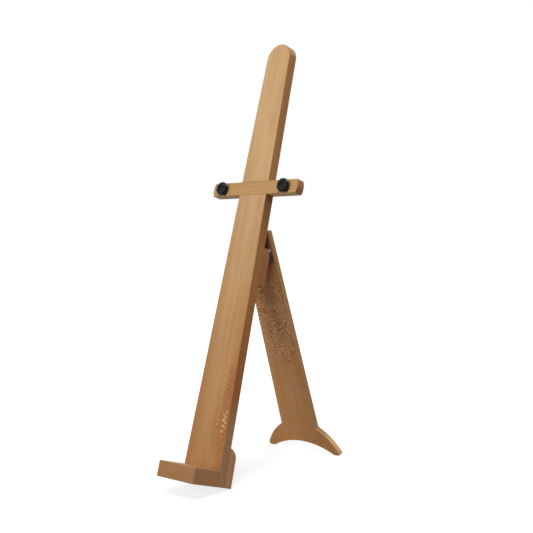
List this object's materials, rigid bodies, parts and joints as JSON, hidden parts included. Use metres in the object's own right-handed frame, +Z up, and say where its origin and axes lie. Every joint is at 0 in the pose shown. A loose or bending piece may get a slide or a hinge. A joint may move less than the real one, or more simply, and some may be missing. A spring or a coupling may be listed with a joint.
{
  "type": "wooden display easel",
  "caption": "Folding wooden display easel: a tapered mast with a ledge and a knobbed crossbar leans back on a hinged rear leg with a wide arched foot.",
  "frame": {"origin": "on the ground, at the middle of the easel's footprint box, with the easel open and standing", "axes": "+Z up; +X across the easel, to the right as seen by someone who faces its front; +Y from the ledge at the front to the leg at the back"},
  "size_m": [0.204, 0.3564, 0.76],
  "materials": {
    "mast_wood": "clear satin varnish on warm honey-coloured hardwood, long straight grain",
    "crossbar_wood": "clear satin varnish, grain along the bar",
    "ledge_wood": "clear satin varnish, grain across the mast",
    "block_wood": "clear satin varnish on redder brown wood",
    "leg_wood": "clear satin varnish, rippled figure near the top",
    "dowel_wood": "plain fluted beech",
    "knob_plastic": "moulded black plastic with a soft sheen",
    "hinge_steel": "dark blued steel",
    "screw_steel": "plain zinc-plated steel",
    "stud_steel": "zinc-plated steel",
    "insert_brass": "plain turned brass"
  },
  "bodies": {
    "mast_frame": {"mast": "mast_wood", "crossbar": "crossbar_wood", "crossbar_screws": "screw_steel", "ledge": "ledge_wood", "ledge_screws": "screw_steel", "heel_block": "block_wood", "heel_block_screws": "screw_steel", "hinge_block": "block_wood", "hinge_block_screws": "screw_steel", "mast_hinge_leaf": "hinge_steel", "mast_leaf_screws": "screw_steel", "hinge_pin": "screw_steel", "knob_inserts": "insert_brass"},
    "rear_leg": {"leg": "leg_wood", "left_foot_wing": "leg_wood", "right_foot_wing": "leg_wood", "foot_dowels": "dowel_wood", "leg_hinge_leaf": "hinge_steel", "leg_leaf_screws": "screw_steel"},
    "left_washer": {"left_knob_washer": "stud_steel"},
    "right_washer": {"right_knob_washer": "stud_steel"},
    "left_knob_and_stud": {"left_knob": "knob_plastic", "left_knob_stud": "stud_steel"},
    "right_knob_and_stud": {"right_knob": "knob_plastic", "right_knob_stud": "stud_steel"}
  },
  "joints": [
    {"name": "leg_fold", "type": "hinge", "parent": "mast_frame", "child": "rear_leg", "pos_m": [0, 0.05729, 0.38922], "axis": [-1, 0, 0], "range_deg": [0, 33.9]},
    {"name": "left_knob_travel", "type": "slide", "parent": "mast_frame", "child": "left_washer", "axis": [0, -0.9348, 0.3551], "range_m": [0, 0.008]},
    {"name": "left_knob_turn", "type": "hinge", "parent": "left_washer", "child": "left_knob_and_stud", "pos_m": [-0.074, 0.06144, 0.50138], "axis": [0, -0.9348, 0.3551], "range_deg": [0, 2880]},
    {"name": "right_knob_travel", "type": "slide", "parent": "mast_frame", "child": "right_washer", "axis": [0, -0.9348, 0.3551], "range_m": [0, 0.008]},
    {"name": "right_knob_turn", "type": "hinge", "parent": "right_washer", "child": "right_knob_and_stud", "pos_m": [0.074, 0.06144, 0.50138], "axis": [0, -0.9348, 0.3551], "range_deg": [0, 2880]}
  ],
  "couplings": [
    {"joint": "left_knob_travel", "follows": "left_knob_turn", "m_per_rad": 0.00015915},
    {"joint": "right_knob_travel", "follows": "right_knob_turn", "m_per_rad": 0.00015915}
  ]
}
